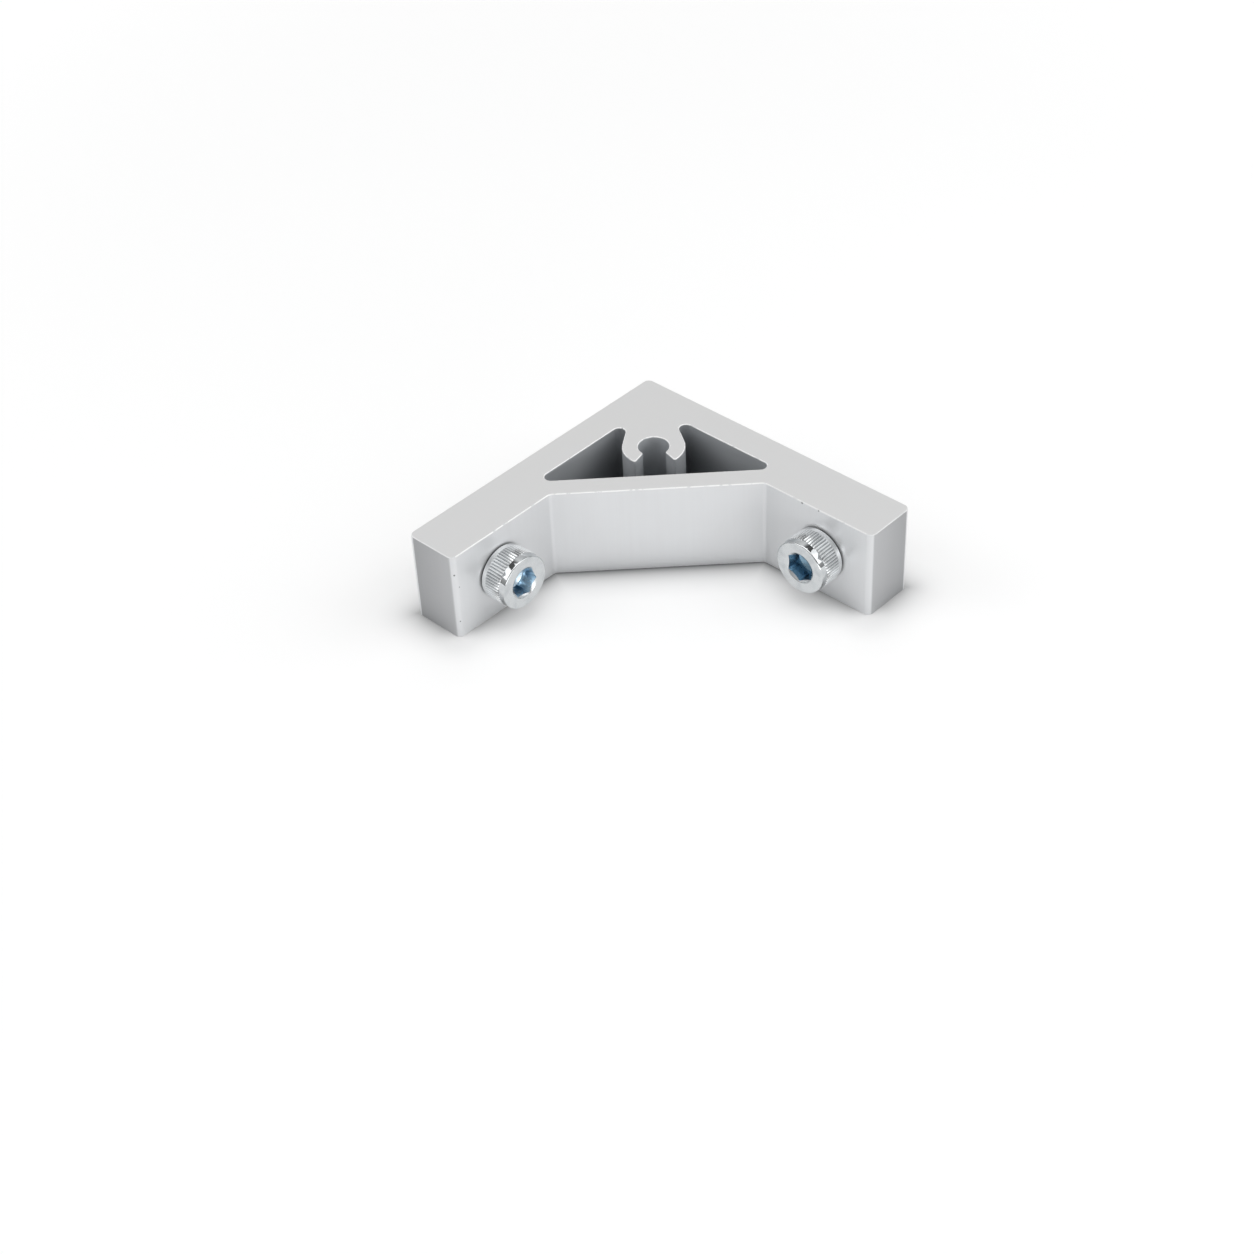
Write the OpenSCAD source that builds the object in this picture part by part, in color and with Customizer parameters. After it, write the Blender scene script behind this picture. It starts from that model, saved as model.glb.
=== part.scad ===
// Inside corner bracket for slotted framing rails, with its two cap screws.
// It is one extruded section, sawn to length. The two legs lie in the corner of two rails,
// a sloping web braces them, and the hollow behind the web carries a C-shaped screw port.
// The outer corner stands at the origin. The left leg runs along +X and the right leg along +Y.
// The section lies in the XY plane, +Z is the extrusion direction, and z = 0 is the lower sawn face.

/* [Legs] */
// Length of each leg from the outer corner
leg_len = 50; // [46:1:70]
// Thickness of the legs
leg_t = 8.8; // [7:0.1:10]
// Length that the section is sawn to
cut_len = 14.5; // [11:0.5:30]
// Radius on the long outside edges
edge_r = 1; // [0.4:0.1:1.6]

/* [Web and hollow] */
// Distance from the outer corner to the foot of the web, along a leg
web_reach = 30.6; // [28:0.1:34]
// Thickness of the web
web_t = 3.3; // [2.4:0.1:4.2]
// Radius where the web meets the legs
foot_r = 1; // [0.4:0.1:3]
// Wall between the hollow and the outer faces
skin_t = 5; // [4:0.1:5.6]
// Distance from an outer face to the horn of the hollow that points at it
horn_gap = 12; // [10:0.1:13]
// Radius in the corners and the horns of the hollow
hollow_r = 1; // [0.6:0.1:1.2]

/* [Screw port] */
// Distance of the port's axis from both outer faces
port_pos = 12.35; // [12:0.05:12.8]
// Bore of the port
port_d = 4.6; // [4:0.1:5]
// Wall of the C round the port
port_wall = 2.35; // [1.6:0.05:2.5]
// Angle of the mouth at the bore
mouth_angle = 90; // [60:5:90]
// Angle by which each lip leans into the mouth
lip_lean = 7; // [0:1:15]
// Rounding of the lips' edges
lip_r = 0.3; // [0.1:0.05:0.5]

/* [Screws] */
// Distance from the end of a leg to its screw
screw_inset = 9; // [7:0.5:12]
// Thread diameter
screw_d = 5; // [4:0.5:5.5]
// Length under the head
screw_len = 14; // [12:1:18]
// Play of a screw in its hole, on the diameter
hole_play = 0.5; // [0.2:0.1:1]
// Bevel at the tip
tip_bevel = 0.6; // [0.3:0.1:1]
// Diameter of the head
head_d = 8.5; // [7.5:0.1:9.5]
// Height of the head
head_h = 4.8; // [4:0.1:6]
// Rounding of the head's front edge
head_r = 0.2; // [0.1:0.05:0.6]
// Bevel round the head's bearing face
seat_bevel = 0.25; // [0.1:0.05:0.4]
// Smooth band at the front of the head, with its rounding
front_band = 1.1; // [0.8:0.1:1.6]
// Smooth band under the knurl
rear_band = 0.9; // [0.5:0.1:1.4]
// Teeth of the knurl
knurl_teeth = 58; // [36:2:72]
// Depth of the knurl
knurl_depth = 0.12; // [0.06:0.02:0.3]
// Hex socket across the flats
key_af = 4.1; // [3:0.1:5]
// Depth of the hex socket
key_depth = 2.5; // [1.5:0.1:3]
// Reach of the socket's countersink past the corners of the hex
lead_reach = 0.15; // [0.05:0.05:0.3]
// Turn of the left screw's socket
left_turn = 49; // [0:1:59]
// Turn of the right screw's socket
right_turn = 0; // [0:1:59]

/* [Hidden] */
$fn = 96;

alu = [0.81, 0.82, 0.82];
zinc = [0.72, 0.75, 0.78];

over = 1;                       // how far a cut runs past the face it starts from
bore_r = port_d / 2;
c_r = bore_r + port_wall;       // outside of the C
port = [port_pos, port_pos];

// x + y along the back of the web
web_back = web_reach + leg_t - web_t * sqrt(2);

// Centre of a horn's round end, and the turn of the line that touches it on one side and the C
// on the other
horn = [horn_gap + hollow_r, skin_t + hollow_r];
horn_way = horn - port;
touch_a = atan2(horn_way.y, horn_way.x) + acos((c_r + hollow_r) / norm(horn_way));

// The flat end of the lip beside the +X leg, from the bore to the outside of the C
lip_a = 45 - mouth_angle / 2;
lip_in = ray(lip_a, bore_r);
lip_out = ray(lip_a + lip_lean, c_r);
lip_dir = (lip_out - lip_in) / norm(lip_out - lip_in);
into_lip = [lip_dir.y, -lip_dir.x];

screw_at = leg_len - screw_inset;
key_r = key_af / sqrt(3);       // corner radius of the hex
drill_point = 118;              // point angle of the drill that starts the socket
lead_angle = 120;               // countersink round the socket
lead_r = key_r + lead_reach;

function ray(a, r) = r * [cos(a), sin(a)];
function swap(p) = [p.y, p.x];

// Draws its children for the +X leg and again for the +Y leg
module both_legs() {
    children();
    mirror([1, -1]) children();
}

// What lies between a corner and the arc of radius r that rounds it.
// The corner is at v, and its sides leave it at the angles a1 and a2.
module corner_waste(v, a1, a2, r) {
    half = (a2 - a1) / 2;
    centre = v + ray(a1 + half, r / sin(half));
    run = r / tan(half);
    difference() {
        polygon([v, v + ray(a1, run), centre, v + ray(a2, run)]);
        translate(centre) circle(r);
    }
}

module outline() {
    difference() {
        union() {
            polygon([
                [0, 0], [leg_len, 0], [leg_len, leg_t], [web_reach, leg_t],
                [leg_t, web_reach], [leg_t, leg_len], [0, leg_len]
            ]);
            both_legs() corner_waste([web_reach, leg_t], 0, 135, foot_r);
        }
        corner_waste([0, 0], 0, 90, edge_r);
        both_legs() {
            corner_waste([leg_len, 0], 90, 180, edge_r);
            corner_waste([leg_len, leg_t], 180, 270, edge_r);
        }
    }
}

module port_mouth() {
    past = lip_out + over * lip_dir;
    polygon([[0, 0], lip_in, past, ray(45, c_r + over) * sqrt(2), swap(past), swap(lip_in)]);
}

// What comes off one edge of the lip: with side = 1 the edge on the C's outside, of radius r,
// and with side = -1 the edge on its bore
module lip_waste(r, side) {
    foot = lip_in + lip_r * into_lip;
    along = foot * lip_dir;
    run = sqrt(pow(r - side * lip_r, 2) - foot * foot + along * along) - along;
    centre = foot + run * lip_dir;
    edge = side > 0 ? lip_out : lip_in;
    difference() {
        polygon([
            lip_in + run * lip_dir, centre, (r + side * over) * centre / norm(centre),
            edge + side * over * lip_dir
        ]);
        translate(centre) circle(lip_r);
    }
}

// Solid metal between the horns, with the C standing on it
module port_block() {
    root = horn - ray(touch_a, hollow_r);
    shoulder = port + ray(touch_a, c_r);
    difference() {
        union() {
            polygon([
                [skin_t, skin_t], [horn.x, skin_t], horn, root, shoulder, port,
                swap(shoulder), swap(root), swap(horn), [skin_t, horn.x]
            ]);
            translate(port) circle(c_r);
        }
        both_legs() translate(horn) circle(hollow_r);
        translate(port) {
            circle(bore_r);
            port_mouth();
            both_legs() {
                lip_waste(c_r, 1);
                lip_waste(bore_r, -1);
            }
        }
    }
}

module hollow() {
    far = web_back - skin_t;
    difference() {
        polygon([[skin_t, skin_t], [far, skin_t], [skin_t, far]]);
        both_legs() corner_waste([far, skin_t], 135, 180, hollow_r);
        port_block();
    }
}

module knurl_ring(h) {
    tooth = 360 / knurl_teeth;
    tip_r = head_d / 2;
    linear_extrude(h)
        polygon([for (i = [0 : knurl_teeth - 1], s = [0, 1])
            ray((i + s / 2) * tooth, tip_r - s * knurl_depth)]);
}

// Smooth body of the head, bevelled at its seat and rounded in front
module head_blank() {
    r = head_d / 2 - knurl_depth;
    rotate_extrude() {
        polygon([
            [0, 0], [r - seat_bevel, 0], [r, seat_bevel], [r, head_h - head_r], [0, head_h - head_r]
        ]);
        square([r - head_r, head_h]);
        translate([r - head_r, head_h - head_r]) circle(head_r);
    }
}

module key_socket(turn) {
    point_r = key_af / 2;
    point_h = point_r / tan(drill_point / 2);
    lead_h = lead_r / tan(lead_angle / 2);
    translate([0, 0, head_h - key_depth])
        rotate(turn) cylinder(r = key_r, h = key_depth + over, $fn = 6);
    translate([0, 0, head_h - key_depth - point_h])
        cylinder(r1 = 0, r2 = point_r, h = point_h);
    translate([0, 0, head_h - lead_h])
        cylinder(r1 = 0, r2 = lead_r, h = lead_h);
}

// Cap screw with its bearing face at z = 0, its head up and its thread down
module cap_screw(turn) {
    difference() {
        union() {
            head_blank();
            translate([0, 0, rear_band]) knurl_ring(head_h - rear_band - front_band);
            translate([0, 0, tip_bevel - screw_len]) cylinder(d = screw_d, h = screw_len - tip_bevel);
            translate([0, 0, -screw_len])
                cylinder(d1 = screw_d - 2 * tip_bevel, d2 = screw_d, h = tip_bevel);
        }
        key_socket(turn);
    }
}

// Carries its children, drawn upright at the origin, to the seat of the screw on the +X leg
module on_x_leg() {
    translate([screw_at, leg_t, cut_len / 2]) rotate([-90, 0, 0]) children();
}

module on_y_leg() {
    translate([leg_t, screw_at, cut_len / 2]) rotate([0, 90, 0]) children();
}

module screw_hole() {
    translate([0, 0, -leg_t - over]) cylinder(d = screw_d + hole_play, h = leg_t + 2 * over);
}

module corner_bracket() {
    color(alu) difference() {
        linear_extrude(cut_len) difference() {
            outline();
            hollow();
        }
        on_x_leg() screw_hole();
        on_y_leg() screw_hole();
    }
}

module left_screw() {
    color(zinc) on_x_leg() cap_screw(left_turn);
}

module right_screw() {
    color(zinc) on_y_leg() cap_screw(right_turn);
}

corner_bracket();
left_screw();
right_screw();
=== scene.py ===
import math

import bmesh
import bpy
from mathutils import Matrix, Vector


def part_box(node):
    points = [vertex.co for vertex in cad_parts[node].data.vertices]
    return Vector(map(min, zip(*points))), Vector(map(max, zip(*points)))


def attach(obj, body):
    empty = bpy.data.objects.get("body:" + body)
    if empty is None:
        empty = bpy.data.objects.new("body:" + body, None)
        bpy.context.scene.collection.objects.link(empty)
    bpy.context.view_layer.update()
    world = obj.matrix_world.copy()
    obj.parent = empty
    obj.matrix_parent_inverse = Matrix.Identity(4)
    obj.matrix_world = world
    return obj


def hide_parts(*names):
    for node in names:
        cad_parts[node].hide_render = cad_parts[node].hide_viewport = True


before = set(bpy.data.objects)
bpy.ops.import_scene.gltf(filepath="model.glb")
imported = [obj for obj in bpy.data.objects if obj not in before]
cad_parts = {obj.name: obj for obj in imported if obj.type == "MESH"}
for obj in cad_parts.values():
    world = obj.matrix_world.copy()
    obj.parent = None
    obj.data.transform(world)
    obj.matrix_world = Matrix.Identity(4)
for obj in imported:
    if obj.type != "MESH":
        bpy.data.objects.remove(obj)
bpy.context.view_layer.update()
mm = 0.001


# Selecting and editing

def deselectAll():
    bpy.ops.object.select_all(action="DESELECT")


def focusOn(piece):
    deselectAll()
    piece.select_set(True)
    bpy.context.view_layer.objects.active = piece


def openMesh(piece):
    focusOn(piece)
    bpy.ops.object.mode_set(mode="EDIT")
    bpy.ops.mesh.select_all(action="DESELECT")


def closeMesh():
    bpy.ops.object.mode_set(mode="OBJECT")


def pick(piece, kind, test):  # kind is VERT or EDGE, and test gets each element
    bpy.ops.mesh.select_mode(type=kind)
    bpy.ops.mesh.select_all(action="DESELECT")
    shape = bmesh.from_edit_mesh(piece.data)
    parts = {"VERT": shape.verts, "EDGE": shape.edges}[kind]
    for part in parts:
        part.select_set(bool(test(part)))
    shape.select_flush_mode()
    bmesh.update_edit_mesh(piece.data)


def away(point):  # distance from the Z axis
    return math.hypot(point.x, point.y)


def applyModifier(piece, kind, **settings):
    focusOn(piece)
    modifier = piece.modifiers.new(kind.title(), kind)
    for name, value in settings.items():
        setattr(modifier, name, value)
    bpy.ops.object.modifier_apply(modifier=modifier.name)


def cutWith(piece, tool, operation="DIFFERENCE"):
    applyModifier(piece, "BOOLEAN", object=tool, operation=operation, solver="EXACT")
    bpy.data.objects.remove(tool)


def addPrimitive(kind, name, **sizes):
    deselectAll()
    getattr(bpy.ops.mesh, "primitive_" + kind + "_add")(**sizes)
    piece = bpy.context.object
    piece.name = name
    return piece


def addUpright(kind, name, low, high, **sizes):  # a cylinder or cone between two heights in mm
    return addPrimitive(kind, name, depth=(high - low) * mm, location=(0, 0, (low + high) / 2 * mm), **sizes)


def settle(piece):  # object to the origin, with its place in its mesh
    focusOn(piece)
    bpy.ops.object.transform_apply(location=True, rotation=True, scale=True)


def smooth(piece, angle):
    focusOn(piece)
    bpy.ops.object.shade_smooth_by_angle(angle=math.radians(angle))
    applyModifier(piece, "WEIGHTED_NORMAL", weight=100, keep_sharp=True)


def enter(piece, node):  # as the finished stand-in of a solid
    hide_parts(node)
    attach(piece, "root")


# Shader maths

class Wire:
    def __init__(self, tree, socket=None):
        self.tree = tree
        self.socket = socket

    def node(self, kind, settings={}, sockets={}, out=0):
        made = self.tree.nodes.new("ShaderNode" + kind)
        for name, value in settings.items():
            setattr(made, name, value)
        for name, value in sockets.items():
            if isinstance(value, Wire):
                self.tree.links.new(value.socket, made.inputs[name])
            else:
                made.inputs[name].default_value = value
        return Wire(self.tree, made.outputs[out])

    def maths(self, operation, first, second=0):
        return self.node("Math", {"operation": operation}, {0: first, 1: second})

    def __add__(self, other):
        return self.maths("ADD", self, other)

    def __radd__(self, other):
        return self.maths("ADD", other, self)

    def __sub__(self, other):
        return self.maths("SUBTRACT", self, other)

    def __rsub__(self, other):
        return self.maths("SUBTRACT", other, self)

    def __mul__(self, other):
        return self.maths("MULTIPLY", self, other)

    def __rmul__(self, other):
        return self.maths("MULTIPLY", other, self)

    def __gt__(self, other):
        return self.maths("GREATER_THAN", self, other)

    def absolute(self):
        return self.maths("ABSOLUTE", self)

    def exponential(self):
        return self.maths("EXPONENT", self)

    def most(self, other):
        return self.maths("MAXIMUM", self, other)

    def least(self, other):
        return self.maths("MINIMUM", self, other)

    def vector(self, y, z):  # of the positive parts of three values
        return self.node("CombineXYZ", {}, {"X": self.most(0), "Y": y.most(0), "Z": z.most(0)})

    def length(self):
        return self.node("VectorMath", {"operation": "LENGTH"}, {0: self}, "Value")

    def farFrom(self, point):
        return self.node("VectorMath", {"operation": "DISTANCE"}, {0: self, 1: point}, "Value")

    def stretched(self, x, y, z):
        return self.node("VectorMath", {"operation": "MULTIPLY"}, {0: self, 1: (x, y, z)})

    def part(self, axis):
        return self.node("SeparateXYZ", {}, {0: self}, axis)

    def over(self, low, high):  # 0 at low, 1 at high, smooth between
        return self.node("MapRange", {"interpolation_type": "SMOOTHSTEP"},
                         {"Value": self, "From Min": low, "From Max": high})

    def noise(self, scale, detail):
        return self.node("TexNoise", {}, {"Vector": self, "Scale": scale, "Detail": detail})

    def attribute(self, name):
        return self.node("Attribute", {"attribute_name": name}, {}, "Fac")

    def paint(self, colour):
        made = self.node("RGB")
        made.socket.default_value = colour
        return made

    def tint(self, colour, mask):  # self where mask is 0, colour where it is 1, by the colour sockets
        return self.node("Mix", {"data_type": "RGBA"}, {0: mask, 6: self, 7: colour}, 2)


def newMaterial(name):
    material = bpy.data.materials.new(name)
    material.use_nodes = True
    material.node_tree.nodes.clear()
    return material, Wire(material.node_tree)


def finishMaterial(wires, shader):
    output = wires.tree.nodes.new("ShaderNodeOutputMaterial")
    wires.tree.links.new(shader.socket, output.inputs["Surface"])


# The bracket, with sizes in mm and degrees as in the solids

bracket = {
    "legThickness": 8.8, "skin": 5.0, "webReach": 30.6, "webThickness": 3.3,
    "portPlace": 12.35, "portRadius": 4.65, "screwInset": 9.0,
    "edgeBreak": 0.13, "breakSteps": 2, "breakAngle": 32, "smoothAngle": 40,
    "mergeGap": 0.0005, "flatAngle": 0.4}
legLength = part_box("corner_bracket")[1].x / mm
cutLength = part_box("corner_bracket")[1].z / mm
webFront = bracket["webReach"] + bracket["legThickness"]  # x + y along the front of the web
webBack = webFront - bracket["webThickness"] * math.sqrt(2)
webFoot = bracket["webReach"] - bracket["legThickness"]  # y - x where the web meets the right leg

aluminium = {
    "drawnColour": (0.78, 0.795, 0.81, 1),  # long faces, as they left the die
    "sawnColour": (0.705, 0.705, 0.70, 1),
    "streakColour": (0.70, 0.705, 0.715, 1),
    # painted shade in the hollow, and deeper painted shade round the port and low down
    "hollowShadeColour": (0.68, 0.705, 0.73, 1),
    "deepShadeColour": (0.17, 0.18, 0.195, 1),
    # painted shade on the leg ends
    "endShadeColour": (0.33, 0.335, 0.345, 1),
    # burrs with a painted highlight along the sharp edges
    "burrHighlightColour": (0.97, 0.97, 0.97, 1),
    "speckColour": (0.10, 0.10, 0.11, 1),
    "dieLines": (2600, 3), "dieDrags": (500, 2), "grain": (5200, 3),  # scale and detail of the noises
    "sawMarks": (2400, 3), "clouds": (90, 2), "crumbs": (900, 4),
    "dieStretch": 0.02, "dragStretch": 0.05, "sawStretch": 0.12,
    "drawnShare": 0.35, "drawnLift": 0.15, "grainShare": 0.65, "sawShare": 0.35,
    "streakDepth": 0.6, "streakStart": 0.25, "bump": 0.5, "bumpDepth": 0.02,
    "metallic": 0.5, "sawnMetallic": 0.3, "burrMetallic": 0.1,
    "roughness": 0.34, "grainRoughness": 0.16, "sawnRoughness": 0.12, "burrRoughness": 0.42,
    "sawnFacing": (0.7, 0.95), "endFacing": (0.9, 1.0),  # of the surface's normal
    "skinFade": (-0.3, 0.1), "backFade": 1.0,  # mm over which the hollow's painted shade sets in
    "portShade": (0.55, 0.15, 0.95, 7.35),  # strength, then its start, full depth and end in mm off the port
    "lowShade": (0.5, 7.0, 0.7),  # strength, then where it is full and where it ends, mm under the top
    "endFade": (0.16, 0.02),  # mm from the end, where the painted shade sets in and is full
    "endLoss": (0.5, -4.0, 14.0),  # its loss towards the inner face, and the mm over which it goes
    "paleCrumbs": (0.34, 0.46), "darkCrumbs": (0.68, 0.72), "crumbDepth": 0.8,
    "burrLoss": (0.55, 0.4), "burrStart": 2.0,  # on the legs' ends and along the right leg, and mm to set in
    "speckDepth": 0.85, "speckFade": (0.5, 1.2),  # shares of a speck's radius
    "specks": [  # place and radius in mm
        ((49.62, 8.58, 11.3), 0.16), ((49.1, 8.8, 9.0), 0.1), ((49.5, 8.67, 2.9), 0.12),
        ((8.8, 37.5, 14.3), 0.2), ((8.8, 40.5, 14.35), 0.15), ((15.7, 5.0, 14.4), 0.15)]}


def hollowShade(place, x, y):  # how far a point lies in the hollow, and how much painted shade it gets there
    low, high = [(bracket["skin"] + step) * mm for step in aluminium["skinFade"]]
    midWeb = (webBack + webFront) / 2
    inHollow = x.over(low, high) * y.over(low, high)
    inHollow = inHollow * (1 - (x + y).over((midWeb - aluminium["backFade"]) * mm, midWeb * mm))
    port, radius = bracket["portPlace"] * mm, bracket["portRadius"]
    strength, start, full, end = aluminium["portShade"]
    fromPort = place.stretched(1, 1, 0).farFrom((port, port, 0))
    shade = fromPort.over((radius + start) * mm, (radius + full) * mm)
    shade = shade * (1 - fromPort.over((radius + start) * mm, (radius + end) * mm)) * strength
    strength, full, end = aluminium["lowShade"]
    shade = shade + (1 - place.part(2).over((cutLength - full) * mm, (cutLength - end) * mm)) * strength
    return inHollow, shade


def paintedEndShade(facing, x, y):  # painted shade on the two end faces, darkest beside the outer faces
    begin, full = aluminium["endFade"]
    loss, near, far = aluminium["endLoss"]
    ends = (facing.part(0) + facing.part(1)).over(*aluminium["endFacing"])
    ends = ends * x.most(y).over((legLength - begin) * mm, (legLength - full) * mm)
    return ends * (1 - x.least(y).over(near * mm, far * mm) * loss)


def aluminiumMaterial(name, burr=False):
    material, wires = newMaterial(name)
    place = wires.node("TexCoord", out="Object")
    facing = wires.node("TexCoord", out="Normal")
    x, y = place.part(0), place.part(1)
    sawn = facing.part(2).absolute().over(*aluminium["sawnFacing"])
    lines = place.stretched(1, 1, aluminium["dieStretch"]).noise(*aluminium["dieLines"])
    drags = place.stretched(1, 1, aluminium["dragStretch"]).noise(*aluminium["dieDrags"])
    marks = place.stretched(1, aluminium["sawStretch"], 1).noise(*aluminium["sawMarks"])
    drawnFace = (lines + drags) * aluminium["drawnShare"] + aluminium["drawnLift"]
    sawnFace = place.noise(*aluminium["grain"]) * aluminium["grainShare"] + marks * aluminium["sawShare"]
    surface = drawnFace * (1 - sawn) + sawnFace * sawn
    streaks = (surface + place.noise(*aluminium["clouds"])) * aluminium["streakDepth"]
    inHollow, shade = hollowShade(place, x, y)
    inHollow = inHollow * (1 - sawn)

    colour = wires.paint(aluminium["drawnColour"]).tint(aluminium["sawnColour"], sawn)
    colour = colour.tint(aluminium["streakColour"], streaks - aluminium["streakStart"])
    # painted shade in the hollow, deepest in a ring round the port and towards the bottom
    colour = colour.tint(aluminium["hollowShadeColour"], inHollow)
    colour = colour.tint(aluminium["deepShadeColour"], inHollow * shade)
    # painted shade on the leg ends
    colour = colour.tint(aluminium["endShadeColour"], paintedEndShade(facing, x, y))
    for spot, radius in aluminium["specks"]:
        full, end = [radius * share * mm for share in aluminium["speckFade"]]
        near = 1 - place.farFrom(Vector(spot) * mm).over(full, end)
        colour = colour.tint(aluminium["speckColour"], near * aluminium["speckDepth"])
    metallic = sawn * (aluminium["sawnMetallic"] - aluminium["metallic"]) + aluminium["metallic"]
    roughness = aluminium["roughness"]
    if burr:  # burrs along the sharp edges, bright crumbs a painted highlight and dark ones nicks, fainter on the ends and the right leg
        crumbs = place.noise(*aluminium["crumbs"])
        endLoss, rightLoss = aluminium["burrLoss"]
        edge, start = bracket["edgeBreak"], aluminium["burrStart"]
        onEnds = x.most(y).over((legLength - 2 * edge) * mm, (legLength - edge) * mm)
        onRight = (y - x).over((webFoot - start) * mm, (webFoot + start) * mm)
        bright = crumbs.over(*aluminium["paleCrumbs"]) * (1 - onEnds * endLoss) * (1 - onRight * rightLoss)
        dark = crumbs.over(*aluminium["darkCrumbs"]) * aluminium["crumbDepth"]
        colour = colour.tint(aluminium["burrHighlightColour"], bright).tint(aluminium["speckColour"], dark)
        metallic, roughness = aluminium["burrMetallic"], aluminium["burrRoughness"]
    bump = wires.node("Bump", {}, {
        "Strength": aluminium["bump"], "Distance": aluminium["bumpDepth"] * mm, "Height": surface})
    shader = wires.node("BsdfPrincipled", {}, {
        "Base Color": colour, "Metallic": metallic, "Normal": bump,
        "Roughness": surface * aluminium["grainRoughness"] + sawn * aluminium["sawnRoughness"] + roughness})
    finishMaterial(wires, shader)
    return material


def copyOfNode(name, newName):
    deselectAll()
    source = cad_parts[name]
    piece = source.copy()
    piece.data = source.data.copy()
    piece.name = newName
    bpy.context.collection.objects.link(piece)
    piece.parent = None
    piece.matrix_world = Matrix.Identity(4)
    piece.data.materials.clear()
    openMesh(piece)
    bpy.ops.mesh.select_all(action="SELECT")
    bpy.ops.mesh.remove_doubles(threshold=bracket["mergeGap"] * mm)
    bpy.ops.mesh.dissolve_limited(angle_limit=math.radians(bracket["flatAngle"]))
    closeMesh()
    return piece


def buildBracket():
    piece = copyOfNode("corner_bracket", "bracket_body")
    piece.data.materials.append(aluminiumMaterial("satinAluminium"))
    piece.data.materials.append(aluminiumMaterial("brokenEdgeNicksAndHighlight", burr=True))
    applyModifier(piece, "BEVEL", width=bracket["edgeBreak"] * mm, segments=bracket["breakSteps"],
                  limit_method="ANGLE", angle_limit=math.radians(bracket["breakAngle"]), material=1)
    smooth(piece, bracket["smoothAngle"])
    enter(piece, "corner_bracket")
    print("bracket built")


# Zinc of the screws

zinc = {
    "colour": (0.63, 0.65, 0.66, 1),
    "cloudColour": (0.54, 0.565, 0.58, 1),
    # painted shade in grooves and at the seat, painted highlight on tips and crests
    "grooveShadeColour": (0.11, 0.125, 0.135, 1),
    "seatShadeColour": (0.03, 0.032, 0.035, 1),
    "tipHighlightColour": (0.93, 0.94, 0.945, 1),
    "clouds": (700, 3), "grain": (6000, 2), "cloudRise": (0.4, 0.75), "grooveRise": (0.25, 1.0),
    "bump": 0.25, "bumpDepth": 0.01,
    "roughness": 0.17, "cloudRoughness": 0.14, "polishGain": 0.7,
    "socketGrain": (2500, 2), "socketRoughness": 0.25, "socketGrainRoughness": 0.06,
    "upperWall": (-0.2, 0.35), "lowerWall": (0.72, 0.95), "rimRise": (0.2, 1.0)}


def zincMaterial(name):
    material, wires = newMaterial(name)
    place = wires.node("TexCoord", out="Object")
    clouds = place.noise(*zinc["clouds"])
    groove = wires.attribute("groove")
    polish = wires.attribute("polish")
    colour = wires.paint(zinc["colour"]).tint(zinc["cloudColour"], clouds.over(*zinc["cloudRise"]))
    # painted shade in grooves and the seat crevice, painted highlight on tips, crests and the rear band
    colour = colour.tint(zinc["grooveShadeColour"], groove.over(*zinc["grooveRise"]))
    colour = colour.tint(zinc["seatShadeColour"], groove.over(1, 2))
    colour = colour.tint(zinc["tipHighlightColour"], (0 - groove).over(0, 1))
    bump = wires.node("Bump", {}, {
        "Strength": zinc["bump"], "Distance": zinc["bumpDepth"] * mm,
        "Height": place.noise(*zinc["grain"]) * (1 - polish)})
    rough = clouds * zinc["cloudRoughness"] + zinc["roughness"]
    shader = wires.node("BsdfPrincipled", {}, {
        "Base Color": colour, "Metallic": 1.0, "Normal": bump,
        "Roughness": rough * (1 - polish * zinc["polishGain"])})
    finishMaterial(wires, shader)
    return material


def socketMaterial(spec):  # blue zinc with painted light and shade: walls paler or darker by which way they face, paler towards the mouth as a painted highlight
    material, wires = newMaterial(spec["socketMaterialName"])
    grain = wires.node("TexCoord", out="Object").noise(*zinc["socketGrain"])
    upward = wires.node("TexCoord", out="Normal").part(2)
    colour = wires.paint(spec["upper"]).tint(spec["middle"], upward.over(*zinc["upperWall"]))
    colour = colour.tint(spec["lower"], upward.over(*zinc["lowerWall"]))
    colour = colour.tint(spec["rim"], wires.attribute("rim").over(*zinc["rimRise"]))
    shader = wires.node("BsdfPrincipled", {}, {
        "Base Color": colour, "Metallic": 1.0,
        "Roughness": grain * zinc["socketGrainRoughness"] + zinc["socketRoughness"]})
    finishMaterial(wires, shader)
    return material


# Cap screws. One is built upright with its bearing face at z = 0, and copied to both seats.

screw = {  # mm and degrees
    "headRadius": 4.13, "headHeight": 4.8, "frontRound": 0.2, "seatBevel": 0.25,
    "knurlTip": 4.245, "knurlGroove": 4.06, "knurlTeeth": 58,
    "knurlStart": 0.9, "knurlEnd": 3.7, "knurlRamp": 0.16, "knurlShade": 0.09, "rearBand": (-0.6, 0.6),
    "roundSteps": 6, "seatSteps": 3, "seatRing": 0.05,
    "keyFlats": 4.1, "keyDepth": 2.5, "leadReach": 0.15, "leadAngle": 120, "leadDepth": 0.25,
    "leadSides": 96, "drillPoint": 118, "drillSides": 48,
    "threadRadius": 2.49, "rootRadius": 2.06, "pitch": 0.8, "length": 14.0, "tipBevel": 0.6,
    "threadSteps": 40, "threadSink": 0.4, "blankSink": 0.3, "blankSides": 64,
    "sparePitches": 2, "mergeGap": 0.001,
    "threadShade": (2.3, 0.3),  # radius where the thread's painted shading is even, and its reach
    "threadProfile": [  # share of the thread's depth, and of its pitch
        (0, 0), (0, 0.22), (0.93, 0.53), (1, 0.57), (1, 0.65), (0.93, 0.69), (0, 1)],
    "edgeBreak": 0.035, "breakSteps": 2, "breakAngle": 34, "smoothAngle": 20,
    "overrun": 0.2, "tolerance": 0.01}  # how far a cut runs past a face, and the play of a test
keyRadius = screw["keyFlats"] / math.sqrt(3)

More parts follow.
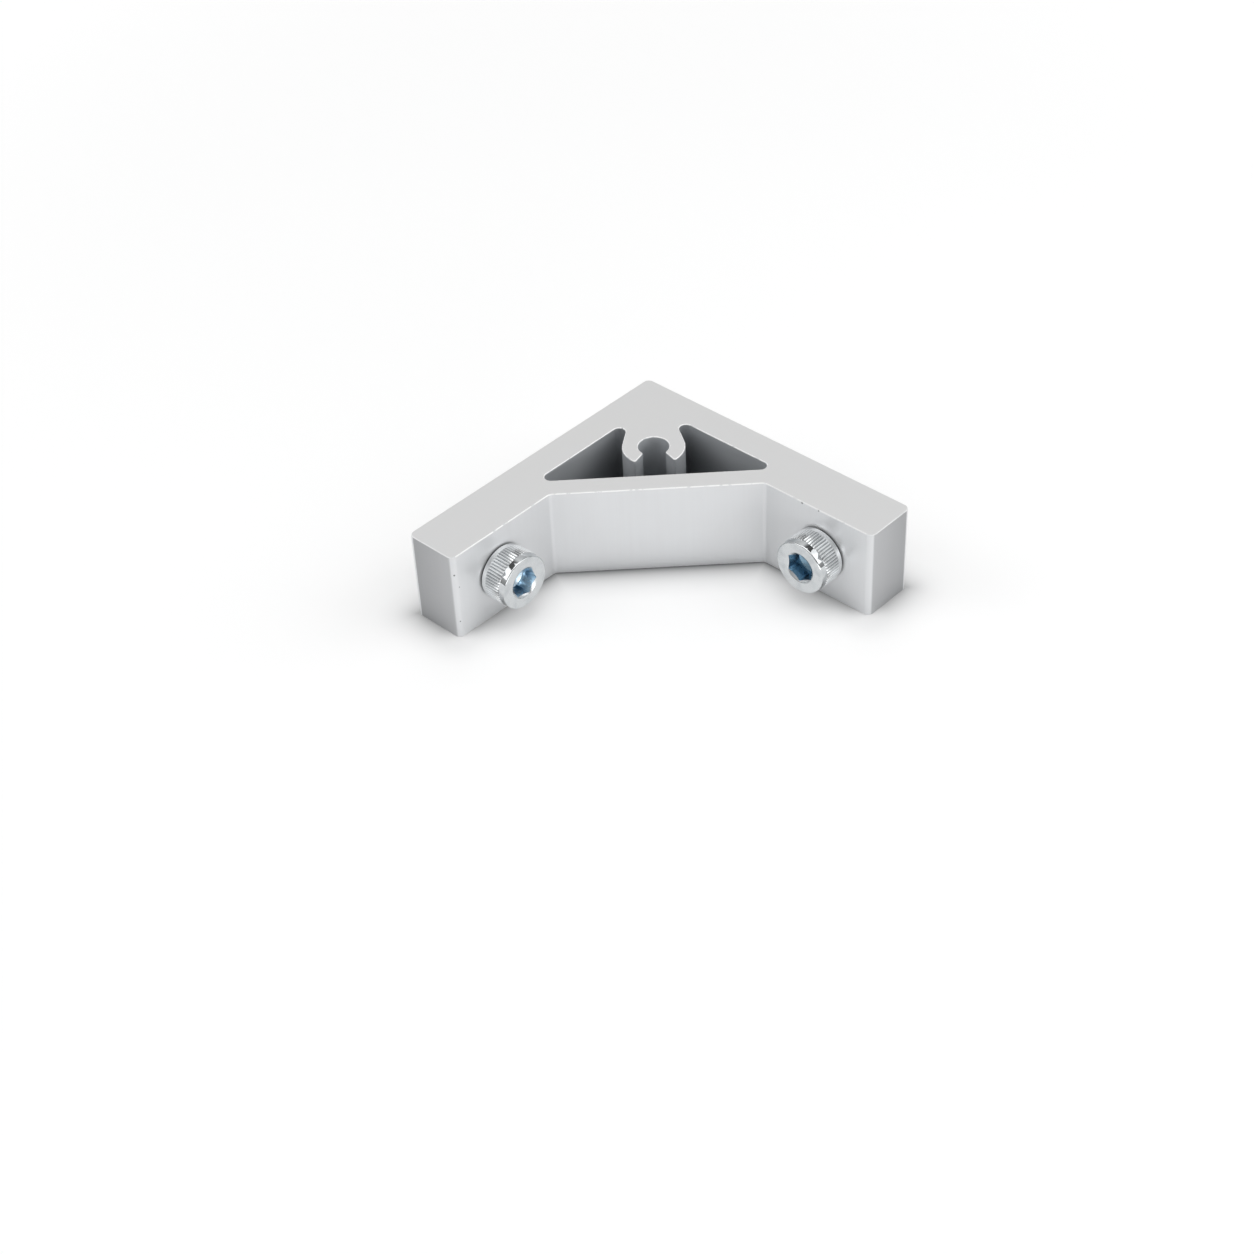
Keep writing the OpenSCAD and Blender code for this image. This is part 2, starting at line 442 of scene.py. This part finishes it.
# socket colours: blue zinc with painted light and shade, upper, middle and lower walls by their facing, and
# a painted highlight at the rim
screwPlaces = {
    "left_screw": {
        "along": "X", "tilt": -90, "turn": 49, "socketMaterialName": "leftSocketZincAndPaintedLight",
        "middle": (0.66, 0.80, 0.90, 1), "upper": (0.33, 0.48, 0.61, 1),
        "lower": (0.12, 0.24, 0.34, 1), "rim": (0.90, 0.94, 0.96, 1)},
    "right_screw": {
        "along": "Y", "tilt": 90, "turn": 0, "socketMaterialName": "rightSocketZincAndPaintedLight",
        "middle": (0.25, 0.39, 0.50, 1), "upper": (0.31, 0.45, 0.56, 1),
        "lower": (0.19, 0.32, 0.42, 1), "rim": (0.54, 0.68, 0.77, 1)}}


def shapeKnurl(head):  # every other column of corners goes out to a tip, the rest in to a groove
    low, high, ramp = screw["knurlStart"], screw["knurlEnd"], screw["knurlRamp"]
    for z in (screw["seatBevel"] + screw["seatRing"], low, low + ramp, high - ramp, high):
        bpy.ops.mesh.select_all(action="SELECT")
        bpy.ops.mesh.bisect(plane_co=(0, 0, z * mm), plane_no=(0, 0, 1))
    step = math.pi / screw["knurlTeeth"]

    def inKnurl(corner, odd):
        column = round(math.atan2(corner.co.x, corner.co.y) / step)
        return column % 2 == odd and (low + ramp / 2) * mm < corner.co.z < (high - ramp / 2) * mm

    for odd, radius in ((0, screw["knurlTip"]), (1, screw["knurlGroove"])):
        pick(head, "VERT", lambda corner: inKnurl(corner, odd))
        grow = radius / screw["headRadius"]
        bpy.ops.transform.resize(value=(grow, grow, 1), center_override=(0, 0, 0))


def bevelRing(piece, test, width, steps):  # test gets the heights of an edge's ends, in mm
    pick(piece, "EDGE", lambda edge: all(test(corner.co.z / mm) for corner in edge.verts))
    bpy.ops.mesh.bevel(offset=width * mm, segments=steps, affect="EDGES")


def cutSocket(head):
    height, over = screw["headHeight"], screw["overrun"]
    floor = height - screw["keyDepth"]
    hexTool = addUpright("cylinder", "hexTool", floor, height + over, vertices=6, radius=keyRadius * mm)
    corner = math.radians(30)  # brings a corner of the hex to the X axis
    bpy.ops.transform.rotate(value=corner, orient_axis="Z", center_override=(0, 0, 0))
    cutWith(head, hexTool)
    drillRadius = screw["keyFlats"] / 2
    drillDepth = drillRadius / math.tan(math.radians(screw["drillPoint"] / 2))
    cutWith(head, addUpright("cone", "drillTool", floor - drillDepth, floor + screw["tolerance"],
                             vertices=screw["drillSides"], radius1=0, radius2=drillRadius * mm))
    leadRadius = keyRadius + screw["leadReach"]
    slope = math.tan(math.radians(screw["leadAngle"] / 2))
    cutWith(head, addUpright("cone", "leadTool", height - leadRadius / slope, height + over,
                             vertices=screw["leadSides"], radius1=0,
                             radius2=(leadRadius + over * slope) * mm))


def buildHead():
    height, tolerance = screw["headHeight"], screw["tolerance"]
    head = addUpright("cylinder", "head", 0, height, vertices=2 * screw["knurlTeeth"],
                      radius=screw["headRadius"] * mm)
    settle(head)
    openMesh(head)
    shapeKnurl(head)
    bevelRing(head, lambda z: z > height - tolerance, screw["frontRound"], screw["roundSteps"])
    bevelRing(head, lambda z: z < tolerance, screw["seatBevel"], screw["seatSteps"])
    closeMesh()
    cutSocket(head)
    applyModifier(head, "BEVEL", width=screw["edgeBreak"] * mm, segments=screw["breakSteps"],
                  limit_method="ANGLE", angle_limit=math.radians(screw["breakAngle"]))
    return head


def buildThread():
    pitch, length, tolerance = screw["pitch"], screw["length"], screw["tolerance"]
    crest, root, spare = screw["threadRadius"], screw["rootRadius"], screw["sparePitches"]
    turns = int(length / pitch) + spare + 1
    profile = [((root + (crest - root) * rise) * mm, 0, (pitch * (along - spare) - length) * mm)
               for rise, along in screw["threadProfile"]]
    shape = bpy.data.meshes.new("thread")
    shape.from_pydata(profile, [(i, i + 1) for i in range(len(profile) - 1)], [])
    thread = bpy.data.objects.new("thread", shape)
    bpy.context.collection.objects.link(thread)
    applyModifier(thread, "SCREW", axis="Z", angle=2 * math.pi, screw_offset=pitch * mm, iterations=turns,
                  steps=screw["threadSteps"], render_steps=screw["threadSteps"], use_merge_vertices=False)
    openMesh(thread)
    bpy.ops.mesh.select_all(action="SELECT")
    bpy.ops.mesh.remove_doubles(threshold=screw["mergeGap"] * mm)
    for z, upper in ((-length, False), (screw["threadSink"], True)):
        bpy.ops.mesh.select_all(action="SELECT")
        bpy.ops.mesh.bisect(plane_co=(0, 0, z * mm), plane_no=(0, 0, 1), use_fill=True,
                            clear_outer=upper, clear_inner=not upper)
    bpy.ops.mesh.select_all(action="SELECT")
    bpy.ops.mesh.normals_make_consistent(inside=False)
    closeMesh()
    blank = addUpright("cylinder", "blank", -length, screw["blankSink"], vertices=screw["blankSides"],
                       radius=(crest + tolerance) * mm)
    settle(blank)
    openMesh(blank)
    bevelRing(blank, lambda z: z < tolerance - length, screw["tipBevel"], 1)
    closeMesh()
    cutWith(thread, blank, "INTERSECT")
    return thread


def clamped(value, low, high):
    return min(max(value, low), high)


def markSurface(piece):
    # groove is -1 for a painted highlight on tips and crests, 1 for painted shade in grooves and roots
    # and 2 for painted shade at the seat, polish is 1 on the front band and rim rises from the socket's
    # floor to its mouth. rearBand gives groove, a painted highlight, and polish behind the knurl.
    marks = {"groove": [], "polish": [], "rim": []}
    height, tolerance = screw["headHeight"], screw["tolerance"]
    start, end = screw["knurlStart"], screw["knurlEnd"]
    threadMiddle, threadSpan = screw["threadShade"]
    for corner in piece.data.vertices:
        out, z = away(corner.co) / mm, corner.co.z / mm
        groove, polish = 0.0, 0.0
        if out > screw["threadRadius"] + screw["overrun"]:
            if start < z < end:
                groove = clamped((screw["headRadius"] - out) / screw["knurlShade"], -1, 1)
            if end - tolerance < z < height - tolerance:
                polish = 1.0
            elif z < screw["seatBevel"] + tolerance:
                groove = 2.0
            elif z < start + tolerance:
                groove, polish = screw["rearBand"]
        elif screw["tipBevel"] - screw["length"] < z < 0:
            groove = clamped((threadMiddle - out) / threadSpan, -1, 1)
        marks["groove"].append(groove)
        marks["polish"].append(polish)
        marks["rim"].append(clamped((z - height) / screw["keyDepth"] + 1, 0, 1))
    for name, values in marks.items():
        piece.data.attributes.new(name, "FLOAT", "POINT").data.foreach_set("value", values)


def inSocket(spot):  # under the countersink, above the thread
    low, high = screw["threadSink"], screw["headHeight"] - screw["leadDepth"]
    return away(spot) < keyRadius * mm and low < spot.z / mm < high


def buildScrew():
    head = buildHead()
    thread = buildThread()
    deselectAll()
    thread.select_set(True)
    head.select_set(True)
    bpy.context.view_layer.objects.active = head
    bpy.ops.object.join()
    markSurface(head)
    head.data.materials.clear()
    head.data.materials.append(zincMaterial("brightZinc"))
    head.data.materials.append(None)
    for face in head.data.polygons:
        face.material_index = int(inSocket(face.center))
    smooth(head, screw["smoothAngle"])
    return head


def placeScrews():
    pattern = buildScrew()
    side, seat = (legLength - bracket["screwInset"]) * mm, bracket["legThickness"] * mm
    for node, spec in screwPlaces.items():
        spot = (side, seat) if spec["along"] == "X" else (seat, side)
        place = Matrix.Translation((*spot, cutLength / 2 * mm))
        tilt = Matrix.Rotation(math.radians(spec["tilt"]), 4, spec["along"])
        turn = Matrix.Rotation(math.radians(spec["turn"]), 4, "Z")
        piece = pattern.copy()
        piece.data = pattern.data.copy()
        piece.name = node + "_body"
        piece.data.materials[1] = socketMaterial(spec)
        bpy.context.collection.objects.link(piece)
        piece.matrix_world = place @ tilt @ turn
        settle(piece)
        enter(piece, node)
    bpy.data.objects.remove(pattern)
    print("screws built")


# Studio, in metres

studio = {
    "floorSize": 6, "floorWhite": 0.8, "liftNear": 0.22, "liftFar": 1.0, "liftReach": (0.1, 0.8),
    "contactShadowColour": (0.12, 0.125, 0.13, 1), "shadowDepth": 0.95, "shadowWidth": 1.9 * mm,
    "shadowFade": (26 * mm, 50 * mm), "shadowLoss": 0.4, "cornerReach": 4 * mm, "cornerLoss": 0.65,
    "roomLow": 0.3, "roomHigh": 0.92, "horizon": -0.1,
    "cards": [  # direction, reach in full and faded, and what is left of the light
        ((0.10, -0.60, 0.79), 0.2, 0.5, 0.12), ((-0.56, 0.08, 0.82), 0.2, 0.5, 0.12),
        ((0.86, 0.46, 0.22), 0.08, 0.2, 0.12), ((0.42, 0.82, 0.38), 0.2, 0.45, 0.12),
        ((0.46, 0.58, 0.68), 0.12, 0.32, 0.12)],
    "aim": (0.02, 0.02, 0.0),
    "lamps": [  # name, place, width, height, watts
        ("overhead", (0.0, 0.0, 0.6), 0.5, 0.5, 0.95),
        ("frontBox", (0.3, 0.62, 0.075), 0.8, 0.14, 1.2),
        ("leftBox", (0.36, -0.33, 0.36), 0.34, 0.34, 0.5),
        ("rightBox", (-0.30, 0.40, 0.367), 0.46, 0.46, 0.82)]}

view = {  # as solved from the photo
    "place": (0.2108, 0.2012, 0.21304), "turn": (49.577, 2.182, 132.813),
    "lens": 66.2, "sensor": 36, "nearest": 0.01}


def contactShade(place):  # painted contact shadow, soft and dark on the floor along the outline of the bracket
    x, y = place.part(0), place.part(1)
    leg, thick = legLength * mm, bracket["legThickness"] * mm
    inside = ((x + y - webFront * mm) * math.sqrt(0.5)).least(x.least(y) - thick)
    gap = (x - leg).most(0 - x).vector((y - leg).most(0 - y), inside).length()
    shadow = (gap * (-1 / studio["shadowWidth"])).exponential() * studio["shadowDepth"]
    for corner in ((leg, thick, 0), (thick, leg, 0)):  # fainter at the free corners
        near = 1 - place.farFrom(corner).over(0, studio["cornerReach"])
        shadow = shadow * (1 - near * studio["cornerLoss"])
    return shadow * (1 - x.most(y).over(*studio["shadowFade"]) * studio["shadowLoss"])


def buildFloor():
    floor = addPrimitive("plane", "floor", size=studio["floorSize"], location=(0, 0, 0))
    material, wires = newMaterial("paperFloor")
    white, near, far = studio["floorWhite"], studio["liftNear"], studio["liftFar"]
    place = wires.node("TexCoord", out="Object")
    shadow = contactShade(place)
    # painted contact shadow on the white paper
    paper = wires.paint((white, white, white, 1)).tint(studio["contactShadowColour"], shadow)
    plain = wires.node("BsdfDiffuse", {}, {"Color": paper})
    rise = place.farFrom((0, 0, 0)).over(*studio["liftReach"]) * (far - near) + near
    lift = wires.node("Emission", {}, {"Color": (1, 1, 1, 1), "Strength": rise * (1 - shadow)})
    lifted = wires.node("AddShader", {}, {0: plain, 1: lift})
    camera, glossy, through = [wires.node("LightPath", out="Is " + kind + " Ray")
                               for kind in ("Camera", "Glossy", "Transmission")]
    shows = (camera + glossy + through) > 0.5
    finishMaterial(wires, wires.node("MixShader", {}, {0: shows, 1: plain, 2: lifted}))
    floor.data.materials.append(material)


def buildRoom():
    world = bpy.data.worlds.new("room")
    bpy.context.scene.world = world
    world.use_nodes = True
    world.node_tree.nodes.clear()
    wires = Wire(world.node_tree)
    toward = wires.node("TexCoord", out="Generated")
    low, high = studio["roomLow"], studio["roomHigh"]
    glow = toward.part(2).over(studio["horizon"], 1.0) * (high - low) + low
    for point, full, faded, left in studio["cards"]:  # black cards, mirrored in the screw heads
        glow = glow * (toward.farFrom(point).over(full, faded) * (1 - left) + left)
    room = wires.node("Background", {}, {"Color": (1, 1, 1, 1), "Strength": glow})
    backdrop = wires.node("Background", {}, {"Color": (1, 1, 1, 1), "Strength": 1.0})
    seen = wires.node("LightPath", out="Is Camera Ray")
    mixed = wires.node("MixShader", {}, {0: seen, 1: room, 2: backdrop})
    output = world.node_tree.nodes.new("ShaderNodeOutputWorld")
    world.node_tree.links.new(mixed.socket, output.inputs["Surface"])


def buildLamps():
    for name, place, width, height, watts in studio["lamps"]:
        lamp = bpy.data.lights.new(name, "AREA")
        lamp.shape = "RECTANGLE"
        lamp.size, lamp.size_y = width, height
        lamp.energy = watts
        holder = bpy.data.objects.new(name, lamp)
        holder.location = place
        holder.rotation_euler = (Vector(studio["aim"]) - Vector(place)).to_track_quat("-Z", "Y").to_euler()
        bpy.context.collection.objects.link(holder)


def buildCamera():
    camera = bpy.data.cameras.new("camera")
    camera.lens, camera.sensor_width, camera.clip_start = view["lens"], view["sensor"], view["nearest"]
    holder = bpy.data.objects.new("camera", camera)
    holder.location = view["place"]
    holder.rotation_euler = [math.radians(angle) for angle in view["turn"]]
    bpy.context.collection.objects.link(holder)
    bpy.context.scene.camera = holder
    bpy.context.scene.view_settings.view_transform = "Standard"


buildFloor()
buildRoom()
buildLamps()
buildCamera()
print("studio built")
buildBracket()
placeScrews()
